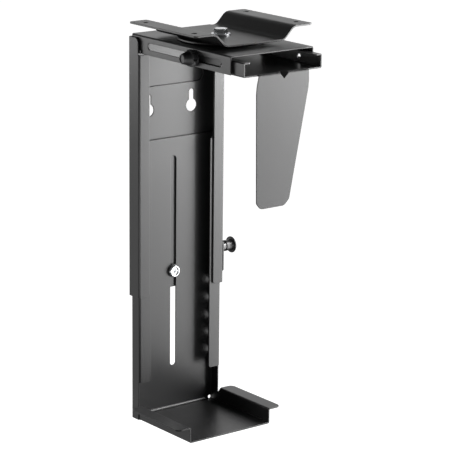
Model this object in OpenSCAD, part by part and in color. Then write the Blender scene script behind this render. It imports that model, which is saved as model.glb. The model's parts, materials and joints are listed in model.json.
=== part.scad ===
// Under-desk computer holder: a hat-shaped desk plate, a swivelling arm with a sliding clamp
// tongue, and a telescopic column that carries a tray. Millimetres, +Z up.
// The origin is the centre of the four desk screws, on the face that meets the desk.
// +X points from the column towards the clamp tongue, Y is across the column.

/* [Sheet metal] */
// Thickness of the column, arm and tray sheet
sheet_t = 1.6; // [1.2:0.1:1.8]
// Bend radius of the sheet, on its middle surface
bend_r = 1.4; // [1.2:0.1:2]

/* [Desk plate] */
// Length of the desk plate along the arm
plate_len = 117.5; // [105:0.5:125]
// Width of the desk plate across the arm
plate_wid = 155; // [150:0.5:160]
// Thickness of the desk plate
plate_t = 2; // [1.6:0.1:2.2]
// Depth from the desk face down into the well of the plate
well_depth = 13.3; // [12.5:0.1:14]
// Half width of the well floor
well_half = 38.5; // [37:0.5:40]
// Spacing of the desk screws along the arm
screw_gap_x = 85; // [75:1:90]
// Spacing of the desk screws across the arm
screw_gap_y = 134; // [130:1:136]
// Diameter of the desk screw holes
screw_hole_d = 6; // [5:0.1:6.5]

/* [Arm] */
// Length of the arm in front of the back of the column
arm_len = 173.4; // [170:0.2:176]
// Outer width of the arm
arm_wid = 109.3; // [108.8:0.1:109.6]
// Height of the arm's sides
arm_h = 18.8; // [18:0.1:19]
// Distance from the column's origin to the pivot bolt
pivot_x = 86; // [82:0.5:90]
// Space between the arm and the desk plate, filled by the swivel discs
swivel_gap = 3.9; // [3.7:0.1:4.2]

/* [Sliding clamp arm] */
// Outer width of the sliding arm
slider_wid = 102.6; // [102:0.1:103]
// Front end of the sliding arm's sides at rest, from the back of the column
slider_front = 190.9; // [188:0.1:194]
// Height of the sliding arm
slider_h = 15.3; // [14:0.1:15.5]
// Length of the clamp tongue below the sliding arm
tongue_drop = 144.1; // [120:1:160]
// Inward lean of the clamp tongue in degrees
tongue_lean = 6.4; // [4:0.1:8]

/* [Column] */
// Outer width of the upper channel
column_wid = 116; // [115.8:0.1:116.4]
// Outer depth of the upper channel
column_dep = 19.8; // [19.4:0.1:20]
// Bottom edge of the upper channel below the top of the arm
column_bottom = 290; // [285:1:295]
// Outer width of the lower channel
lower_wid = 111.8; // [111.4:0.1:112]
// Top edge of the lower channel at rest, below the top of the arm
lower_top = 119; // [118:0.5:122]
// Pitch of the height locking holes
hole_pitch = 20.5; // [20:0.1:20.6]

/* [Tray] */
// Underside of the tray floor at rest, below the top of the arm
tray_bottom = 431.8; // [428:0.2:436]
// Front edge of the tray, from the back of the column
tray_front = 109.2; // [100:0.2:116]
// Height of the tray walls
tray_wall_h = 17.7; // [15:0.1:20]
// Outer width of the tray's walls
tray_wid = 110.2; // [109.6:0.1:110.8]
// Width of the flanges along the tray walls
tray_flange = 16; // [12:0.1:18]

/* [Hidden] */

$fn = 48;
bend_steps = 6;
fine_fn = 96;
eps = 0.01;
over = 5;
cut_depth = 3 * sheet_t;

black = [0.09, 0.09, 0.095];
nylon = [0.05, 0.05, 0.05];
zinc = [0.78, 0.79, 0.8];
steel = [0.6, 0.6, 0.62];

// The column's own origin: the middle of the column's back, level with the arm's top plate
arm_z = -(well_depth + plate_t + swivel_gap);
arm_rise = 0.8;

// Clearances
glide_clear = 0.1;
run_fit = 0.05;

// Swivel
bolt_r = 4;
bolt_run = 0.05;
bolt_fit = 0.2;
hex_af = 13;
hex_r = hex_af / sqrt(3);
bolt_head_h = 5.3;
washer_r = 10.3;
washer_t = 1.6;
disc_r = 46;
disc_t = 2;
glide_r = 30;
glide_t = 1;
lower_washer_r = 8;
nut_h = 7.5;
lower_washer_z = arm_z + arm_rise - sheet_t - glide_clear - washer_t;
nut_z = lower_washer_z - nut_h;
bolt_tail = 1.2;
well_slope_run = 13;
plate_bend_r = 11;
plate_corner_r = 4;

// Arm
arm_side_start = 1.2;
arm_notch_end = 16.8;
arm_notch_top = -15.8;
arm_back_half = 52;
back_flange_h = 66;
slot_z = -9.4;
slot_w = 7.5;
slot_back = 30.3;
slot_front = 158.6;
stud_x = 112;
stud_r = 3;
stud_head_r = 5;
stud_head_h = 2.4;
rivet_head_r = 5.2;
rivet_head_h = 1.6;
rivet_rim = 0.4;
rivet_flat = 0.7;
tack_start = 14.9;
tack_len = 4.8;
tack_h = 4;

// Sliding arm
slider_half = slider_wid / 2;
slider_bottom = -19.4;
slider_top = slider_bottom + slider_h;
slider_back = 92;
slider_lip = 9.5;
slider_bend_r = 1;
slider_lip_start = 125;
tongue_front = 193;
tongue_neck_half = 32.7;
tongue_shoulder_half = 34;
tongue_shoulder_z = -30;
tongue_taper_z = -38;
tongue_end_half = 21.7;
tongue_corner_drop = 6.5;
tongue_foot_half = 15.5;
dart_half = 7;
dart_reach = 7.7;
dart_fold = 1.2;
spare_hole_x = 155.2;
spare_hole_z = -11.8;
spare_hole_r = 2.7;
side_gap = arm_wid / 2 - sheet_t - slider_half;
side_glide_r = 5.6;

// Clamp knob
knob_washer_r = 8.6;
knob_washer_t = 1.2;
knob_base_r = 9;
knob_mid_r = 7.4;
knob_tip_r = 5.5;
knob_base_h = 5;
knob_h = 14.6;
knob_flutes = 8;
knob_flute_r = 1.9;
knob_dish_r = 3.8;
knob_dish_h = 1;
knob_cap_t = 2;

// Upper channel
column_half = column_wid / 2;
column_back = -0.8;
column_front = column_back + column_dep;
column_top = -1.9;
lip_top = -20.5;
lip_in = 43.8;
web_window_half = 41.5;
web_window_z = -60;
window_corner_r = 8;
front_corner_r = 6;
lip_corner_r = 3;
key_gap = 58;
key_shift = -3.2;
key_z = -86.2;
key_r = 7;
key_neck_r = 3.1;
key_neck_h = 15;

// Lower channel and tray
lower_half = lower_wid / 2;
lower_back = 1.4;
lower_front = 16.9;
lower_lip_in = 40.4;
lower_lip_bottom = -388.5;
lower_lip_top_drop = 2.7;
slot_half = 3.85;
slot_top_z = -143.65;
slot_bottom_z = -377.35;
tray_flange_start = 20.2;
tray_notch_start = 16.9;
tray_notch_h = 5.6;
tray_corner_r = 6;
tray_wall_gap = 0.6;
relief_r = 2.2;
relief_in = 3;
relief_y = 52.1;
relief_z = 2.6;
foot_half = 53.8;
foot_web_half = 52.2;
foot_bend_r = 3.6;
foot_lap = 0.5;
tray_half = tray_wid / 2;
wall_start = lower_front - bend_r - sheet_t / 2 + tray_wall_gap;

// Guide screw
guide_z = -270.8;
guide_head_r = 6.8;
guide_head_h = 3;
guide_chamfer_h = 1.2;
guide_chamfer_r = 1;
guide_dish_r = 4.6;
guide_dish_h = 1.1;
guide_socket_r = 2.3;
guide_socket_h = 2;
guide_washer_r = 7.5;
guide_washer_t = 1.2;
guide_screw_r = 2.5;
sleeve_r = 3.7;
sleeve_flange_r = 6.5;
sleeve_flange_t = 1.5;
guide_play = 0.1;

// Height lock
lock_x = 11;
lock_z = -250.5;
lock_hole_r = 2.8;
lock_holes_each_way = 6;
lock_plate_t = 1.8;
lock_plate_x = [4, 18];
lock_plate_z = [-277.5, -242.5];
lock_plate_radii = [5, 5, 2, 2];
lock_rivet_z = [-262.5, -270.5];
lock_rivet_r = 1.6;
lock_rivet_head_r = 3;
lock_rivet_head_h = 1.4;
lock_rivet_shoulder = 0.9;
lock_rivet_flat = 0.5;
barrel_nose_r = 5.2;
barrel_base_r = 6.4;
barrel_base_t = 0.9;
barrel_r = 5.4;
barrel_end = 64.4;
barrel_tube_r = 4;
barrel_tube_end = 68.4;
barrel_bore_r = 3.1;
barrel_nose_t = 1;
barrel_wall = 1;
pin_r = 2.5;
pin_tip_y = 56.3;
pin_shoulder_r = 2.9;
pin_shoulder_y = 61.5;
pin_shoulder_t = 1;
knob_rim = 0.8;
cap_edge = 0.6;
cap_fillet = 1;
pin_rod_r = 1.5;
pin_cone = 0.6;
knob_neck_y = 64.9;
knob_neck_r = 6.2;
knob_waist_r = 5.9;
knob_neck_in_r = 5.5;
knob_bore_end = 69.4;
cap_y = 73.8;
cap_t = 2.3;
cap_r = 9.25;
cap_floor_y = 72.8;
spring_wire_r = 0.25;
spring_coils = 6;
spring_mean_r = 2.4;

// Sheet profiles -----------------------------------------------------------------------------

function unit(v) = v / norm(v);
function left_of(v) = [-v[1], v[0]];
function turned(v, a) = [v[0] * cos(a) - v[1] * sin(a), v[0] * sin(a) + v[1] * cos(a)];
function cross2(u, v) = u[0] * v[1] - u[1] * v[0];

// Points round the corner b between a and c, each with the sheet's normal there
function bend_at(a, b, c, r) =
    let (
        u = unit(b - a),
        v = unit(c - b),
        turn = atan2(cross2(u, v), u * v),
        side = sign(turn),
        centre = b - u * r * tan(abs(turn) / 2) + side * r * left_of(u)
    )
    [for (k = [0:bend_steps])
        let (n = turned(left_of(u), turn * k / bend_steps))
        [centre - side * r * n, n]];

function bent_path(path, r) =
    let (last = len(path) - 1)
    concat(
        [[path[0], left_of(unit(path[1] - path[0]))]],
        [for (i = [1:last - 1]) each bend_at(path[i - 1], path[i], path[i + 1], r)],
        [[path[last], left_of(unit(path[last] - path[last - 1]))]]
    );

// Closed outline with every corner rounded to its own radius
function rounded(points, radii) =
    let (n = len(points))
    [for (i = [0:n - 1])
        for (p = bend_at(points[(i + n - 1) % n], points[i], points[(i + 1) % n], radii[i]))
            p[0]];

function mirrored(path) =
    concat(path, [for (i = [len(path) - 1:-1:0]) [-path[i][0], path[i][1]]]);

module bent_sheet(path, t, r) {
    run = bent_path(path, r);
    last = len(run) - 1;
    polygon(concat(
        [for (p = run) p[0] + p[1] * t / 2],
        [for (i = [last:-1:0]) run[i][0] - run[i][1] * t / 2]
    ));
}

// A profile drawn in (Y, Z) and run along X from x0 to x1
module along_x(x0, x1) {
    translate([x0, 0, 0])
        rotate([90, 0, 90])
            linear_extrude(height = x1 - x0)
                children();
}

// A profile drawn in (X, Z) and run across Y, centred
module along_y(width) {
    translate([0, width / 2, 0])
        rotate([90, 0, 0])
            linear_extrude(height = width)
                children();
}

module slot_2d(length, r) {
    square([length, 2 * r], center = true);
    for (s = [-1, 1])
        translate([s * length / 2, 0])
            circle(r);
}

module rod_x(r, x0, x1) {
    translate([x0, 0, 0])
        rotate([0, 90, 0])
            cylinder(r = r, h = x1 - x0);
}

module rod_y(r, y0, y1) {
    translate([0, y0, 0])
        rotate([-90, 0, 0])
            cylinder(r = r, h = y1 - y0);
}

// A shape turned round the Y axis from a profile drawn in (radius, Y)
module turned_y() {
    rotate([-90, 0, 0])
        rotate_extrude()
            children();
}

module in_column() {
    translate([-pivot_x, 0, arm_z])
        children();
}

module both_sides() {
    children();
    mirror([0, 1, 0])
        children();
}

// What a corner loses when it is rounded, with the corner at the origin
module corner_waste(r) {
    difference() {
        translate([-over, -over])
            square(r + over);
        translate([r, r])
            circle(r);
    }
}

// Desk plate and swivel ----------------------------------------------------------------------

module plate_outline() {
    half = [plate_len / 2, plate_wid / 2];
    corners = [[half[0], half[1]], [-half[0], half[1]], [-half[0], -half[1]], [half[0], -half[1]]];
    polygon(rounded(corners, [for (c = corners) plate_corner_r]));
}

module mounting_plate() {
    mid = plate_t / 2;
    profile = [
        [-plate_wid / 2, -mid],
        [-(well_half + well_slope_run), -mid],
        [-well_half, -well_depth - mid]
    ];
    color(black)
        difference() {
            intersection() {
                along_x(-plate_len / 2, plate_len / 2)
                    bent_sheet(mirrored(profile), plate_t, plate_bend_r);
                translate([0, 0, arm_z])
                    linear_extrude(height = -arm_z + over)
                        plate_outline();
            }
            for (x = [-1, 1], y = [-1, 1])
                translate([x * screw_gap_x / 2, y * screw_gap_y / 2, -well_depth])
                    cylinder(d = screw_hole_d, h = well_depth + over);
            translate([0, 0, arm_z])
                cylinder(r = bolt_r + bolt_fit, h = -arm_z);
        }
}

module ring(r_out, r_in, z0, t) {
    translate([0, 0, z0])
        difference() {
            cylinder(r = r_out, h = t, $fn = fine_fn);
            translate([0, 0, -over])
                cylinder(r = r_in, h = t + 2 * over);
        }
}

module swivel_disc() {
    color(black)
        ring(disc_r, bolt_r + bolt_fit, arm_z + swivel_gap - disc_t, disc_t);
}

module glide_washer() {
    color(nylon)
        ring(glide_r, bolt_r + bolt_fit, arm_z + arm_rise, glide_t);
}

module pivot_washer() {
    color(zinc)
        ring(washer_r, bolt_r + bolt_fit, -well_depth, washer_t);
}

module pivot_bolt() {
    head_z = -well_depth + washer_t;
    tail_z = nut_z - bolt_tail;
    color(zinc) {
        intersection() {
            translate([0, 0, head_z])
                cylinder(r = hex_r, h = bolt_head_h, $fn = 6);
            translate([0, 0, head_z])
                cylinder(r1 = hex_r + bolt_head_h, r2 = hex_r - bolt_fit * 2, h = bolt_head_h);
        }
        translate([0, 0, tail_z])
            cylinder(r = bolt_r, h = head_z - tail_z + eps);
    }
}

module pivot_lower_washer() {
    color(zinc)
        ring(lower_washer_r, bolt_r + bolt_fit, lower_washer_z, washer_t);
}

module pivot_nut() {
    color(zinc)
        translate([0, 0, nut_z])
            difference() {
                cylinder(r = hex_r, h = nut_h, $fn = 6);
                translate([0, 0, -over])
                    cylinder(r = bolt_r + eps, h = nut_h + 2 * over);
            }
}

// Fixed arm ----------------------------------------------------------------------------------

module arm_slots() {
    slot_len = slot_front - slot_back - slot_w;
    translate([(slot_front + slot_back) / 2, 0, slot_z])
        along_y(arm_wid + 2 * over)
            slot_2d(slot_len, slot_w / 2);
}

module upper_arm() {
    mid = sheet_t / 2;
    side = arm_wid / 2 - mid;
    top = arm_rise - mid;
    back = column_back - mid;
    color(black)
        in_column()
            difference() {
                union() {
                    along_x(arm_side_start, arm_len)
                        bent_sheet(mirrored([[-side, -arm_h], [-side, top]]), sheet_t, bend_r);
                    along_y(2 * arm_back_half)
                        bent_sheet(
                            [[back, -back_flange_h], [back, top], [arm_side_start + over, top]],
                            sheet_t, bend_r
                        );
                }
                arm_slots();
                translate([0, -arm_wid / 2 - over, -arm_h - over])
                    cube([arm_notch_end, arm_wid + 2 * over, arm_notch_top + arm_h + over]);
                translate([pivot_x, 0, -over])
                    cylinder(r = bolt_r + bolt_run, h = 2 * over);
            }
}

module weld_tacks() {
    gap_in = arm_wid / 2;
    gap_out = column_half - sheet_t;
    color(black)
        in_column()
            both_sides()
                translate([tack_start, gap_in, -arm_h])
                    cube([tack_len, gap_out - gap_in, tack_h]);
}

// Sliding clamp arm --------------------------------------------------------------------------

module tongue_outline() {
    foot_z = slider_bottom - tongue_drop;
    half = [
        [tongue_neck_half, slider_top],
        [tongue_neck_half, slider_bottom],
        [tongue_shoulder_half, tongue_shoulder_z],
        [tongue_shoulder_half - eps, tongue_taper_z],
        [tongue_end_half, foot_z + tongue_corner_drop],
        [tongue_foot_half, foot_z]
    ];
    radii = [1, 8, 12, 20, 6, 6];
    mirror_half = [for (i = [len(half) - 1:-1:0]) [-half[i][0], half[i][1]]];
    mirror_radii = [for (i = [len(half) - 1:-1:0]) radii[i]];
    polygon(rounded(concat(half, mirror_half), concat(radii, mirror_radii)));
}

// A wedge whose edge runs straight across the inside of the bend, moved in by the given depth
module dart_wedge(depth) {
    edge = -dart_reach / sqrt(2) - depth;
    slope = dart_half * sqrt(2) / dart_reach;
    translate([tongue_front, 0, slider_bottom + sheet_t])
        rotate([0, -45, 0])
            linear_extrude(height = 4 * dart_reach, center = true)
                polygon([[edge, 0], [over, (over - edge) * slope], [over, (edge - over) * slope]]);
}

// Everything behind the outer face of the bend, near the dart
module bend_core() {
    mid = sheet_t / 2;
    size = 2 * dart_reach;
    corner = [
        tongue_front - mid + mid * cos(tongue_lean) / (1 - sin(tongue_lean)),
        slider_bottom + sheet_t
    ];
    along_y(4 * dart_half)
        polygon(rounded(
            [[corner[0] - size, corner[1]], corner,
             [corner[0] - size * tan(tongue_lean), corner[1] - size],
             [corner[0] - size, corner[1] - size]],
            [1, bend_r + mid, 1, 1]
        ));
}

module clamp_tongue() {
    mid = sheet_t / 2;
    fall = tongue_drop + mid;
    intersection() {
        along_y(slider_wid)
            bent_sheet(
                [
                    [slider_front - 2 * over, slider_bottom + mid],
                    [tongue_front - mid, slider_bottom + mid],
                    [tongue_front - mid - fall * tan(tongue_lean), slider_bottom + mid - fall]
                ],
                sheet_t, bend_r
            );
        along_x(0, tongue_front + over)
            tongue_outline();
    }
}

module slider_profile() {
    mid = sheet_t / 2;
    bent_sheet(
        mirrored([
            [-(slider_half - slider_lip), slider_top - mid],
            [-(slider_half - mid), slider_top - mid],
            [-(slider_half - mid), slider_bottom + mid]
        ]),
        sheet_t, slider_bend_r
    );
}

module sliding_arm() {
    inner = slider_half - sheet_t;
    color(black)
        in_column()
            difference() {
                union() {
                    along_x(slider_back, slider_front)
                        slider_profile();
                    clamp_tongue();
                    intersection() {
                        dart_wedge(sheet_t * dart_fold);
                        bend_core();
                    }
                }
                dart_wedge(0);
                translate([slider_back - over, -inner, slider_bottom + 2 * sheet_t])
                    cube([slider_lip_start - slider_back + over, 2 * inner, slider_h]);
                both_sides()
                    translate([slider_front, slider_half - slider_lip, slider_bottom + 2 * sheet_t])
                        linear_extrude(height = slider_h)
                            mirror([1, 0])
                                corner_waste(lip_corner_r);
                translate([stud_x, 0, slot_z])
                    rod_y(stud_r + bolt_fit, -slider_half - over, slider_half + over);
                translate([spare_hole_x, 0, spare_hole_z])
                    rod_y(spare_hole_r, -slider_half - over, slider_half + over);
            }
}

module side_glides() {
    color(nylon)
        in_column()
            both_sides()
                translate([stud_x, 0, slot_z])
                    difference() {
                        rod_y(side_glide_r, slider_half, slider_half + side_gap - glide_clear);
                        rod_y(stud_r + bolt_fit, slider_half - over, slider_half + over);
                    }
}

module clamp_stud() {
    inner = slider_half - sheet_t;
    outer = arm_wid / 2 + glide_clear + knob_washer_t + knob_h - 3;
    color(zinc)
        in_column()
            translate([stud_x, 0, slot_z]) {
                rod_y(stud_head_r, -inner, -inner + stud_head_h);
                rod_y(stud_r, -outer, -inner + eps);
            }
}

module clamp_washer() {
    face = arm_wid / 2 + glide_clear;
    color(black)
        in_column()
            translate([stud_x, 0, slot_z])
                difference() {
                    rod_y(knob_washer_r, -face - knob_washer_t, -face);
                    rod_y(stud_r + bolt_fit, -face - over, -face + over);
                }
}

module clamp_knob() {
    face = arm_wid / 2 + glide_clear + knob_washer_t + run_fit;
    color(nylon)
        in_column()
            translate([stud_x, -face, slot_z])
                difference() {
                    mirror([0, 1, 0])
                        turned_y()
                            polygon([
                                [stud_r + run_fit, 0],
                                [knob_base_r - 1, 0],
                                [knob_base_r, 1],
                                [knob_base_r, knob_base_h],
                                [knob_mid_r, knob_base_h + 1],
                                [knob_tip_r, knob_h - 1],
                                [knob_tip_r - 1, knob_h],
                                [knob_dish_r, knob_h],
                                [knob_dish_r, knob_h - knob_dish_h],
                                [0, knob_h - knob_dish_h],
                                [0, knob_h - knob_cap_t],
                                [stud_r + run_fit, knob_h - knob_cap_t]
                            ]);
                    for (k = [0:knob_flutes - 1])
                        rotate([0, k * 360 / knob_flutes, 0])
                            translate([knob_base_r + knob_flute_r / 2, 0, 0])
                                rod_y(knob_flute_r, -knob_base_h - 1, over);
                }
}

module guide_rivet() {
    inner = slider_half - sheet_t;
    face = arm_wid / 2 + 2 * glide_clear;
    color(zinc)
        in_column()
            translate([stud_x, 0, slot_z]) {
                rod_y(stud_head_r, inner - stud_head_h, inner);
                rod_y(stud_r, inner - eps, face + eps);
                turned_y()
                    polygon([
                        [0, face],
                        [rivet_head_r, face],
                        [rivet_head_r, face + rivet_head_h * rivet_rim],
                        [rivet_head_r * rivet_flat, face + rivet_head_h],
                        [0, face + rivet_head_h]
                    ]);
            }
}

// Upper channel ------------------------------------------------------------------------------

module keyhole() {
    rod_x(key_r, -over, over);
    translate([-over, -key_neck_r, 0])
        cube([2 * over, 2 * key_neck_r, key_neck_h]);
    translate([0, 0, key_neck_h])
        rod_x(key_neck_r, -over, over);
}

module web_window() {
    half = web_window_half;
    low = web_window_z;
    high = over;
    along_x(-over, 2 * sheet_t)
        polygon(rounded(
            [[-half, low], [half, low], [half, high], [-half, high]],
            [window_corner_r, window_corner_r, 1, 1]
        ));
}

module upper_channel() {
    mid = sheet_t / 2;
    side = column_half - mid;
    back = column_back + mid;
    front = column_front - mid;
    flange_front = front - bend_r;
    color(black)
        in_column()
            difference() {
                translate([0, 0, -column_bottom])
                    linear_extrude(height = column_bottom + column_top)
                        bent_sheet(
                            [[front, -lip_in], [front, -side], [back, -side],
                             [back, side], [front, side], [front, lip_in]],
                            sheet_t, bend_r
                        );
                translate([flange_front, -column_half - over, lip_top])
                    cube([column_dep, column_wid + 2 * over, -lip_top]);
                translate([flange_front, 0, column_top])
                    along_y(column_wid + 2 * over)
                        mirror([1, 0])
                            mirror([0, 1])
                                corner_waste(front_corner_r);
                both_sides()
                    for (end = [-column_bottom, lip_top])
                        translate([column_front - 2 * sheet_t, lip_in, end])
                            mirror([0, 0, end == lip_top ? 1 : 0])
                                along_x(0, cut_depth)
                                    corner_waste(lip_corner_r);
                web_window();
                for (s = [-1, 1])
                    translate([0, key_shift + s * key_gap / 2, key_z])
                        keyhole();
                translate([0, 0, guide_z])
                    rod_x(sleeve_r + run_fit, -over, over);
                translate([lock_x, 0, lock_z])
                    rod_y(barrel_nose_r + run_fit, column_half - over, column_half + over);
                for (z = lock_rivet_z)
                    translate([lock_x, 0, z])
                        rod_y(lock_rivet_r + run_fit, column_half - over, column_half + over);
            }
}

// Lower channel and tray ---------------------------------------------------------------------

module lower_column() {
    mid = sheet_t / 2;
    side = lower_half - mid;
    front = lower_front - mid;
    flange_front = front - bend_r;
    base = -tray_bottom;
    web_end = -tray_bottom + mid + foot_bend_r;
    difference() {
        translate([0, 0, base])
            linear_extrude(height = -lower_top - base)
                bent_sheet(
                    [[front, -lower_lip_in], [front, -side], [lower_back + mid, -side],
                     [lower_back + mid, side], [front, side], [front, lower_lip_in]],
                    sheet_t, bend_r
                );
        translate([lower_back - over, -foot_web_half, base - over])
            cube([lower_front, 2 * foot_web_half, web_end - base + over]);
        translate([flange_front, -lower_half - over, base - over])
            cube([lower_front, lower_wid + 2 * over, lower_lip_bottom - base + over]);
        translate([flange_front, -lower_half - over, -lower_top - lower_lip_top_drop])
            cube([lower_front, lower_wid + 2 * over, lower_lip_top_drop + over]);
        both_sides()
            for (end = [lower_lip_bottom, -lower_top - lower_lip_top_drop])
                translate([lower_front - 2 * sheet_t, lower_lip_in, end])
                    mirror([0, 0, end == lower_lip_bottom ? 0 : 1])
                        along_x(0, cut_depth)
                            corner_waste(lip_corner_r);
        translate([lower_back, 0, (slot_top_z + slot_bottom_z) / 2])
            rotate([0, 90, 0])
                linear_extrude(height = 2 * over, center = true)
                    slot_2d(slot_top_z - slot_bottom_z, slot_half);
        for (k = [-lock_holes_each_way:lock_holes_each_way])
            translate([lock_x, 0, lock_z + k * hole_pitch])
                rod_y(lock_hole_r, lower_half - over, lower_half + over);
    }
}

module tray() {
    mid = sheet_t / 2;
    side = tray_half - mid;
    floor_z = -tray_bottom + mid;
    top_z = -tray_bottom + tray_wall_h;
    profile = [
        [-(tray_half + tray_flange), top_z - mid],
        [-side, top_z - mid],
        [-side, floor_z]
    ];
    difference() {
        along_x(wall_start, tray_front)
            bent_sheet(mirrored(profile), sheet_t, bend_r);
        along_y(tray_wid + 2 * tray_flange + 2 * over)
            polygon([
                [wall_start - over, top_z - tray_notch_h],
                [tray_notch_start, top_z - tray_notch_h],
                [tray_flange_start, top_z - sheet_t],
                [tray_flange_start, top_z + over],
                [wall_start - over, top_z + over]
            ]);
        both_sides()
            for (end = [0, 1])
                translate([
                    end == 0 ? tray_flange_start : tray_front,
                    tray_half + tray_flange,
                    top_z - 2 * sheet_t
                ])
                    linear_extrude(height = cut_depth)
                        mirror([end, 0])
                            mirror([0, 1])
                                corner_waste(tray_corner_r);
    }
}

module tray_root() {
    mid = sheet_t / 2;
    floor_z = -tray_bottom + mid;
    along_y(2 * foot_half)
        bent_sheet(
            [[lower_back + mid, floor_z + 2 * over], [lower_back + mid, floor_z],
             [wall_start + foot_lap, floor_z]],
            sheet_t, foot_bend_r
        );
}

// The hole that lets web, side and tray floor fold from one blank: it opens both web and floor
module corner_relief() {
    translate([lower_back, relief_y, -tray_bottom + relief_z])
        rod_x(relief_r, -over, relief_in);
    translate([lower_back + relief_in, relief_y, -tray_bottom - over])
        cylinder(r = relief_r, h = over + relief_z);
}

module lower_channel() {
    color(black)
        in_column()
            difference() {
                union() {
                    lower_column();
                    tray_root();
                    tray();
                }
                both_sides()
                    corner_relief();
            }
}

// Guide screw --------------------------------------------------------------------------------

module guide_screw() {
    head = lower_back + sheet_t + guide_play + guide_washer_t;
    top = head + guide_head_h;
    color(zinc)
        in_column()
            translate([0, 0, guide_z])
                rotate([0, 90, 0])
                    difference() {
                        rotate_extrude()
                            polygon([
                                [0, column_back],
                                [guide_screw_r, column_back],
                                [guide_screw_r, head],
                                [guide_head_r, head],
                                [guide_head_r, top - guide_chamfer_h],
                                [guide_head_r - guide_chamfer_r, top],
                                [guide_dish_r, top],
                                [guide_dish_r - guide_chamfer_r, top - guide_dish_h],
                                [0, top - guide_dish_h]
                            ]);
                        translate([0, 0, top - guide_socket_h - guide_dish_h])
                            cylinder(r = guide_socket_r, h = over, $fn = 6);
                    }
}

module guide_washer() {
    back = lower_back + sheet_t + guide_play;
    color(nylon)
        in_column()
            translate([0, 0, guide_z])
                difference() {
                    rod_x(guide_washer_r, back, back + guide_washer_t);
                    rod_x(guide_screw_r + run_fit, back - over, back + over);
                }
}

module guide_sleeve_nut() {
    end = lower_back + sheet_t + guide_play;
    color(steel)
        in_column()
            translate([0, 0, guide_z])
                difference() {
                    union() {
                        rod_x(sleeve_flange_r, column_back - sleeve_flange_t, column_back);
                        rod_x(sleeve_r, column_back - sleeve_flange_t, end);
                    }
                    rod_x(guide_screw_r, -over, end + over);
                }
}

// Height lock --------------------------------------------------------------------------------

module lock_plate() {
    size_x = lock_plate_x[1] - lock_plate_x[0];
    size_z = lock_plate_z[1] - lock_plate_z[0];
    centre_x = (lock_plate_x[0] + lock_plate_x[1]) / 2;
    centre_z = (lock_plate_z[0] + lock_plate_z[1]) / 2;
    corners = [
        [size_x / 2, size_z / 2], [-size_x / 2, size_z / 2],
        [-size_x / 2, -size_z / 2], [size_x / 2, -size_z / 2]
    ];
    color(black)
        in_column()
            difference() {
                translate([centre_x, column_half + lock_plate_t / 2, centre_z])
                    along_y(lock_plate_t)
                        polygon(rounded(corners, lock_plate_radii));
                translate([lock_x, 0, lock_z])
                    rod_y(barrel_nose_r + run_fit, column_half - over, column_half + over);
                for (z = lock_rivet_z)
                    translate([lock_x, 0, z])
                        rod_y(lock_rivet_r + run_fit, column_half - over, column_half + over);
            }
}

module lock_rivets() {
    face = column_half + lock_plate_t;
    color(black)
        in_column()
            for (z = lock_rivet_z)
                translate([lock_x, 0, z])
                    turned_y()
                        polygon([
                            [0, column_half - sheet_t],
                            [lock_rivet_r, column_half - sheet_t],
                            [lock_rivet_r, face],
                            [lock_rivet_head_r, face],
                            [
                                lock_rivet_head_r * lock_rivet_shoulder,
                                face + lock_rivet_head_h * lock_rivet_flat
                            ],
                            [lock_rivet_head_r * lock_rivet_flat, face + lock_rivet_head_h],
                            [0, face + lock_rivet_head_h]
                        ]);
}

module lock_barrel() {
    nose = column_half - sheet_t;
    face = column_half + lock_plate_t;
    color(steel)
        in_column()
            translate([lock_x, 0, lock_z])
                turned_y()
                    polygon([
                        [pin_r + run_fit, nose],
                        [barrel_nose_r, nose],
                        [barrel_nose_r, face],
                        [barrel_base_r, face],
                        [barrel_base_r, face + barrel_base_t],
                        [barrel_r, face + barrel_base_t],
                        [barrel_r, barrel_end],
                        [barrel_tube_r, barrel_end],
                        [barrel_tube_r, barrel_tube_end],
                        [pin_rod_r + run_fit, barrel_tube_end],
                        [pin_rod_r + run_fit, barrel_tube_end - barrel_wall],
                        [barrel_bore_r, barrel_tube_end - barrel_wall],
                        [barrel_bore_r, nose + barrel_nose_t],
                        [pin_r + run_fit, nose + barrel_nose_t]
                    ]);
}

module lock_pin() {
    color(zinc)
        in_column()
            translate([lock_x, 0, lock_z])
                turned_y()
                    polygon([
                        [0, pin_tip_y],
                        [pin_r - pin_cone, pin_tip_y],
                        [pin_r, pin_tip_y + pin_cone],
                        [pin_r, pin_shoulder_y],
                        [pin_shoulder_r, pin_shoulder_y],
                        [pin_shoulder_r, pin_shoulder_y + pin_shoulder_t],
                        [pin_rod_r, pin_shoulder_y + pin_shoulder_t],
                        [pin_rod_r, cap_y + 1],
                        [0, cap_y + 1]
                    ]);
}

// The coils are drawn as separate closed rings, each one turn of the spring
module lock_spring() {
    low = pin_shoulder_y + pin_shoulder_t + spring_wire_r + eps;
    high = barrel_tube_end - barrel_wall - spring_wire_r - eps;
    color(steel)
        in_column()
            translate([lock_x, 0, lock_z])
                for (k = [0:spring_coils - 1])
                    translate([0, low + (high - low) * k / (spring_coils - 1), 0])
                        rotate([-90, 0, 0])
                            rotate_extrude()
                                translate([spring_mean_r, 0])
                                    circle(spring_wire_r, $fn = 16);
}

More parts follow.
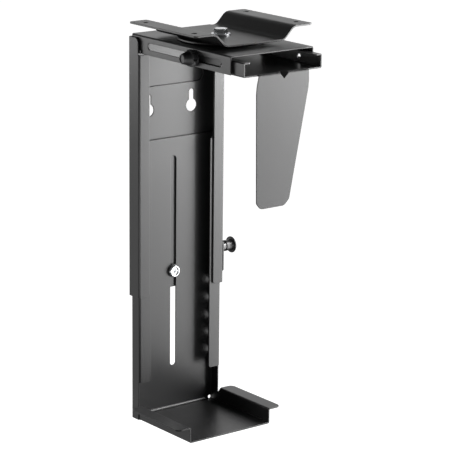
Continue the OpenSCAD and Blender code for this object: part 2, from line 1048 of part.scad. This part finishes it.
module lock_knob() {
    color(nylon)
        in_column()
            translate([lock_x, 0, lock_z])
                turned_y()
                    polygon([
                        [knob_neck_in_r, knob_neck_y],
                        [knob_neck_r, knob_neck_y],
                        [knob_neck_r, knob_neck_y + knob_rim],
                        [knob_waist_r, (knob_neck_y + cap_y) / 2],
                        [knob_neck_r, cap_y - cap_fillet],
                        [knob_neck_r + cap_fillet, cap_y],
                        [cap_r - cap_edge, cap_y],
                        [cap_r, cap_y + cap_edge],
                        [cap_r, cap_y + cap_t - knob_rim],
                        [cap_r - knob_rim, cap_y + cap_t],
                        [0, cap_y + cap_t],
                        [0, cap_y + cap_fillet],
                        [pin_rod_r, cap_y + cap_fillet],
                        [pin_rod_r, cap_floor_y],
                        [barrel_tube_r + glide_clear * 2, cap_floor_y],
                        [barrel_tube_r + glide_clear * 2, knob_bore_end],
                        [knob_neck_in_r, knob_bore_end]
                    ]);
}

mounting_plate();
swivel_disc();
glide_washer();
pivot_bolt();
pivot_washer();
pivot_lower_washer();
pivot_nut();
upper_arm();
upper_channel();
weld_tacks();
sliding_arm();
side_glides();
clamp_stud();
clamp_washer();
clamp_knob();
guide_rivet();
lower_channel();
guide_screw();
guide_washer();
guide_sleeve_nut();
lock_plate();
lock_rivets();
lock_barrel();
lock_pin();
lock_spring();
lock_knob();
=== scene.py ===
"""Under-desk computer holder: looks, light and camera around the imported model. Metres, +Z up."""
import json
import math

import bpy
from mathutils import Matrix, Quaternion, Vector


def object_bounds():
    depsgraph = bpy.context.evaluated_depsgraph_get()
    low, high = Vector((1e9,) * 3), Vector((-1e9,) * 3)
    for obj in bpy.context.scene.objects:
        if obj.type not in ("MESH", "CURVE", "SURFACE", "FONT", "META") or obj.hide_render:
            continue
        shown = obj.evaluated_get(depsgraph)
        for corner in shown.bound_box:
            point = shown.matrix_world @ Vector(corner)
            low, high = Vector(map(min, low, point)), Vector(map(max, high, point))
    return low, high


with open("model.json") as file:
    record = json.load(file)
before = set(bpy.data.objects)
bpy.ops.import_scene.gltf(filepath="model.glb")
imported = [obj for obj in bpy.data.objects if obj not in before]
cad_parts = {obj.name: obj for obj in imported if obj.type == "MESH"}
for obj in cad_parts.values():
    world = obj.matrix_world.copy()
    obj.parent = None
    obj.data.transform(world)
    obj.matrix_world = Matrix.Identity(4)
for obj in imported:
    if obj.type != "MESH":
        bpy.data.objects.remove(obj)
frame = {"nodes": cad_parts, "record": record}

MM = 0.001
CAD_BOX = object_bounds()
NODES = frame["nodes"]
SLOTS = {row["node"]: row["material_slot"] for row in frame["record"]["subparts"]}


# ---------------------------------------------------------------- camera

CAMERA_AZIMUTH = math.radians(52.19)
CAMERA_ELEVATION = math.radians(14.40)
CAMERA_ROLL = math.radians(0.55)
CAMERA_DISTANCE = 2.382
CAMERA_AIM = Vector((-0.0053, 0.0135, -0.2246))
LENS = 175.2
SENSOR_WIDTH = 36
VIEW_DEPTH = 50


def make_camera():
    az, el, roll = CAMERA_AZIMUTH, CAMERA_ELEVATION, CAMERA_ROLL
    back = Vector((math.sin(az) * math.cos(el), -math.cos(az) * math.cos(el), math.sin(el)))
    level = Vector((math.cos(az), math.sin(az), 0))
    turn = Matrix.Rotation(roll, 3, back)
    right = turn @ level
    up = turn @ back.cross(level)
    axes = Matrix((right, up, back)).transposed().to_4x4()
    data = bpy.data.cameras.new("camera")
    data.lens = LENS
    data.sensor_width = SENSOR_WIDTH
    camera = bpy.data.objects.new("camera", data)
    camera.matrix_world = Matrix.Translation(CAMERA_AIM + back * CAMERA_DISTANCE) @ axes
    data.clip_end = VIEW_DEPTH
    bpy.context.collection.objects.link(camera)
    bpy.context.scene.camera = camera


# ---------------------------------------------------------------- node helpers

class Graph:
    """A material's node tree, with short calls to add nodes and link them."""

    def __init__(self, name):
        self.material = bpy.data.materials.new(name)
        self.material.use_nodes = True
        self.tree = self.material.node_tree
        self.shader = self.tree.nodes["Principled BSDF"]

    def add(self, kind, **values):
        made = self.tree.nodes.new(kind)
        for key, value in values.items():
            if hasattr(made, key):
                setattr(made, key, value)
            else:
                made.inputs[key.replace("_", " ")].default_value = value
        return made

    def link(self, source, target):
        self.tree.links.new(source, target)

    def set(self, **values):
        for key, value in values.items():
            self.shader.inputs[key.replace("_", " ")].default_value = value

    def noise(self, scale, detail=3.0, rough=0.5, stretch=None):
        place = self.tree.nodes.new("ShaderNodeTexCoord").outputs["Object"]
        if stretch:
            mapping = self.add("ShaderNodeMapping")
            mapping.inputs["Scale"].default_value = stretch
            self.link(place, mapping.inputs["Vector"])
            place = mapping.outputs["Vector"]
        made = self.tree.nodes.new("ShaderNodeTexNoise")
        made.inputs["Scale"].default_value = scale
        made.inputs["Detail"].default_value = detail
        made.inputs["Roughness"].default_value = rough
        self.link(place, made.inputs["Vector"])
        return made.outputs["Fac"]

    def spread(self, source, low, high, start=0.3, end=0.7):
        made = self.tree.nodes.new("ShaderNodeMapRange")
        made.inputs["From Min"].default_value = start
        made.inputs["From Max"].default_value = end
        made.inputs["To Min"].default_value = low
        made.inputs["To Max"].default_value = high
        self.link(source, made.inputs["Value"])
        return made.outputs["Result"]

    def mix(self, factor, first, second):
        made = self.tree.nodes.new("ShaderNodeMix")
        made.data_type = "RGBA"
        self.link(factor, made.inputs[0])
        for socket, value in ((made.inputs[6], first), (made.inputs[7], second)):
            if isinstance(value, tuple):
                socket.default_value = (*value, 1)
            else:
                self.link(value, socket)
        return made.outputs[2]

    def bump(self, height, distance, strength=1.0, under=None):
        made = self.tree.nodes.new("ShaderNodeBump")
        made.inputs["Strength"].default_value = strength
        made.inputs["Distance"].default_value = distance
        self.link(height, made.inputs["Height"])
        if under:
            self.link(under, made.inputs["Normal"])
        return made.outputs["Normal"]


# ---------------------------------------------------------------- materials

def powder_coat():
    """Satin black powder coat: a fine orange-peel grain with slow changes in sheen."""
    g = Graph("powder_coated_steel")
    g.set(IOR=1.5, Specular_IOR_Level=0.5, Coat_Weight=0.2, Coat_Roughness=0.28, Coat_IOR=1.5)
    cloud = g.noise(14, 3)
    peel = g.noise(1500, 2, 0.55)
    pores = g.noise(5200, 1)
    g.link(g.mix(g.spread(cloud, 0, 1), (0.010, 0.010, 0.0105), (0.014, 0.014, 0.0145)),
           g.shader.inputs["Base Color"])
    g.link(g.spread(cloud, 0.34, 0.41), g.shader.inputs["Roughness"])
    fine = g.bump(pores, 0.00002, 0.25)
    g.link(g.bump(peel, 0.00006, 0.25, fine), g.shader.inputs["Normal"])
    return g.material


def zinc():
    """Bright zinc plating, cloudy and a little blue."""
    g = Graph("zinc_plated_steel")
    g.set(Metallic=1.0)
    cloud = g.noise(300, 4, 0.6)
    g.link(g.mix(g.spread(cloud, 0, 1), (0.62, 0.64, 0.66), (0.80, 0.81, 0.82)),
           g.shader.inputs["Base Color"])
    g.link(g.spread(cloud, 0.16, 0.32), g.shader.inputs["Roughness"])
    g.link(g.bump(g.noise(2600, 2), 0.00003, 0.3), g.shader.inputs["Normal"])
    return g.material


def black_steel():
    """Black-finished turned steel, glossier than the sheet."""
    g = Graph("black_steel")
    g.set(IOR=1.6, Coat_Weight=0.5, Coat_Roughness=0.2)
    cloud = g.noise(500, 3)
    g.link(g.mix(g.spread(cloud, 0, 1), (0.016, 0.016, 0.018), (0.03, 0.03, 0.031)),
           g.shader.inputs["Base Color"])
    g.link(g.spread(cloud, 0.25, 0.38), g.shader.inputs["Roughness"])
    g.link(g.bump(g.noise(2400, 2), 0.00004, 0.3), g.shader.inputs["Normal"])
    return g.material


def spring_steel():
    """Drawn wire and ground pin, with a light oil film."""
    g = Graph("spring_steel")
    g.set(Metallic=1.0, Coat_Weight=0.3, Coat_Roughness=0.15)
    lines = g.noise(900, 3, 0.6, stretch=(1, 6, 1))
    g.link(g.mix(g.spread(lines, 0, 1), (0.42, 0.42, 0.43), (0.58, 0.58, 0.59)),
           g.shader.inputs["Base Color"])
    g.link(g.spread(lines, 0.22, 0.36), g.shader.inputs["Roughness"])
    g.link(g.bump(lines, 0.00002, 0.4), g.shader.inputs["Normal"])
    return g.material


def nylon():
    """Black moulded nylon with a fine spark-eroded grain."""
    g = Graph("black_nylon")
    g.set(IOR=1.53, Specular_IOR_Level=0.5)
    cloud = g.noise(220, 3)
    grain = g.noise(4200, 2, 0.6)
    g.link(g.mix(g.spread(cloud, 0, 1), (0.010, 0.010, 0.011), (0.018, 0.018, 0.019)),
           g.shader.inputs["Base Color"])
    g.link(g.spread(cloud, 0.3, 0.42), g.shader.inputs["Roughness"])
    g.link(g.bump(grain, 0.00005, 0.35), g.shader.inputs["Normal"])
    return g.material


FINISHES = {
    "powder_coated_steel": powder_coat(),
    "zinc_plated_steel": zinc(),
    "black_steel": black_steel(),
    "spring_steel": spring_steel(),
    "black_nylon": nylon(),
}


def paint_cad():
    for name, node in NODES.items():
        node.data.materials.clear()
        node.data.materials.append(FINISHES[SLOTS[name]])


# ---------------------------------------------------------------- edges of the sheet

EDGE_RADIUS = {"powder_coated_steel": 0.5 * MM, "zinc_plated_steel": 0.25 * MM}
# Smaller where short edges meet, because a wider bevel would fold over itself there
NODE_RADIUS = {"lower_channel": 0.3 * MM, "sliding_arm": 0.2 * MM, "lock_pin": 0.15 * MM}
OTHER_RADIUS = 0.2 * MM
EDGE_SEGMENTS = 3
EDGE_ANGLE = math.radians(40)
FLAT_ANGLE = math.radians(0.5)
WELD_DISTANCE = 0.001 * MM
NORMAL_WEIGHT = 100
SMOOTH_ANGLE = math.radians(28)


def smoothing_group():
    """Shades smooth across edges flatter than SMOOTH_ANGLE and keeps the others sharp."""
    group = bpy.data.node_groups.new("smooth_bends", "GeometryNodeTree")
    group.interface.new_socket("Geometry", in_out="INPUT", socket_type="NodeSocketGeometry")
    group.interface.new_socket("Geometry", in_out="OUTPUT", socket_type="NodeSocketGeometry")
    start = group.nodes.new("NodeGroupInput")
    end = group.nodes.new("NodeGroupOutput")
    faces = group.nodes.new("GeometryNodeSetShadeSmooth")
    edges = group.nodes.new("GeometryNodeSetShadeSmooth")
    edges.domain = "EDGE"
    angle = group.nodes.new("GeometryNodeInputMeshEdgeAngle")
    flat = group.nodes.new("FunctionNodeCompare")
    flat.data_type = "FLOAT"
    flat.operation = "LESS_THAN"
    flat.inputs[1].default_value = SMOOTH_ANGLE
    group.links.new(angle.outputs["Unsigned Angle"], flat.inputs[0])
    group.links.new(start.outputs[0], faces.inputs["Geometry"])
    group.links.new(faces.outputs["Geometry"], edges.inputs["Geometry"])
    group.links.new(flat.outputs[0], edges.inputs["Shade Smooth"])
    group.links.new(edges.outputs["Geometry"], end.inputs[0])
    return group


def soften_edges():
    group = smoothing_group()
    for name, node in NODES.items():
        weld = node.modifiers.new("weld", "WELD")
        weld.merge_threshold = WELD_DISTANCE
        flat = node.modifiers.new("flat_faces", "DECIMATE")
        flat.decimate_type = "DISSOLVE"
        flat.angle_limit = FLAT_ANGLE
        bevel = node.modifiers.new("edges", "BEVEL")
        bevel.width = NODE_RADIUS.get(name, EDGE_RADIUS.get(SLOTS[name], OTHER_RADIUS))
        bevel.segments = EDGE_SEGMENTS
        bevel.limit_method = "ANGLE"
        bevel.angle_limit = EDGE_ANGLE
        bevel.use_clamp_overlap = False
        bevel.loop_slide = False
        smooth = node.modifiers.new("smooth", "NODES")
        smooth.node_group = group
        normals = node.modifiers.new("normals", "WEIGHTED_NORMAL")
        normals.keep_sharp = True
        normals.weight = NORMAL_WEIGHT


# ---------------------------------------------------------------- stage and light

FLOOR_GAP = 0.001
FLOOR_HALF = 12
FLOOR_GLOW = 1.0
WORLD_GLOW = 0.13

# Upright soft boxes around the object: compass angle, distance, width, lower and upper edge, radiance.
# "right" is the key, seen in the web, the tray and the tongue, and "right_low" fades it out downwards.
# "left" and the dim "left_low" show the arm's and the column's sides, "back" the flat tops, and "corner"
# is a small close box that picks out the folded flange beside the arm.
UPRIGHT_BOXES = {
    "right": {"angle": 57, "distance": 1.0, "width": 0.65, "edges": (-0.45, 0.6), "glow": 8},
    "right_low": {"angle": 57, "distance": 1.0, "width": 0.65, "edges": (-1.4, -0.45), "glow": 4},
    "left": {"angle": -142, "distance": 1.0, "width": 1.3, "edges": (-0.2, 0.15), "glow": 3},
    "left_low": {"angle": -142, "distance": 1.0, "width": 1.3, "edges": (-1.4, -0.2), "glow": 0.5},
    "back": {"angle": 142, "distance": 1.0, "width": 1.3, "edges": (-0.3, 0.4), "glow": 0.8},
    "corner": {"angle": 66, "distance": 0.4, "width": 0.3, "edges": (-0.1, 0.1), "glow": 10},
}

# Soft boxes lying flat, level with the tray at rest, and facing up: compass angle, distance, depth,
# width, radiance
FLOOR_BOXES = {
    "floor_near": {"angle": 38, "distance": 0.75, "depth": 1.0, "width": 1.4, "glow": 1},
    "floor_far": {"angle": 38, "distance": 1.8, "depth": 1.0, "width": 2.4, "glow": 6},
    "floor_front": {"angle": -50, "distance": 0.9, "depth": 0.8, "width": 0.8, "glow": 3},
}
FLOOR_BOX_DROP = 0.012


def lowest_reach():
    """Height of the tray's underside at the bottom of its travel."""
    joints = frame["record"]["behaviour"]["joints"]
    slide = next(joint for joint in joints if joint["name"] == "height_slide")
    return CAD_BOX[0].z + min(slide["range_m"])


def make_floor():
    low = lowest_reach() - FLOOR_GAP
    half = FLOOR_HALF
    mesh = bpy.data.meshes.new("floor")
    mesh.from_pydata([(-half, -half, low), (half, -half, low), (half, half, low), (-half, half, low)],
                     [], [(0, 1, 2, 3)])
    floor = bpy.data.objects.new("floor", mesh)
    bpy.context.collection.objects.link(floor)
    g = Graph("floor")
    g.set(Roughness=0.9, Specular_IOR_Level=0.1, Emission_Color=(1, 1, 1, 1), Emission_Strength=FLOOR_GLOW)
    g.link(g.mix(g.spread(g.noise(3, 2), 0, 1), (0.30, 0.30, 0.30), (0.32, 0.32, 0.32)),
           g.shader.inputs["Base Color"])
    mesh.materials.append(g.material)
    floor.visible_glossy = False
    floor.visible_diffuse = False
    floor.visible_shadow = False


def make_world():
    world = bpy.data.worlds.new("studio")
    world.use_nodes = True
    world.node_tree.nodes["Background"].inputs["Color"].default_value = (1, 1, 1, 1)
    world.node_tree.nodes["Background"].inputs["Strength"].default_value = WORLD_GLOW
    bpy.context.scene.world = world


def make_box(name, width, height, glow, place, facing):
    data = bpy.data.lights.new(name, "AREA")
    data.shape = "RECTANGLE"
    data.size = width
    data.size_y = height
    data.energy = glow * math.pi * width * height
    light = bpy.data.objects.new(name, data)
    light.location = place
    light.rotation_mode = "QUATERNION"
    light.rotation_quaternion = facing
    light.visible_camera = False
    bpy.context.collection.objects.link(light)


def make_lights():
    for name, box in UPRIGHT_BOXES.items():
        turn = math.radians(box["angle"])
        way = Vector((math.cos(turn), math.sin(turn), 0))
        low, high = box["edges"]
        place = way * box["distance"] + Vector((0, 0, (low + high) / 2))
        make_box(name, box["width"], high - low, box["glow"], place, (-way).to_track_quat("-Z", "Y"))
    for name, box in FLOOR_BOXES.items():
        turn = math.radians(box["angle"])
        place = Vector((math.cos(turn), math.sin(turn), 0)) * box["distance"]
        place.z = CAD_BOX[0].z - FLOOR_BOX_DROP
        facing = Quaternion((0, 0, 1), turn) @ Quaternion((1, 0, 0), math.pi)
        make_box(name, box["depth"], box["width"], box["glow"], place, facing)


bpy.context.scene.view_settings.view_transform = "Standard"
make_camera()
paint_cad()
soften_edges()
make_floor()
make_world()
make_lights()
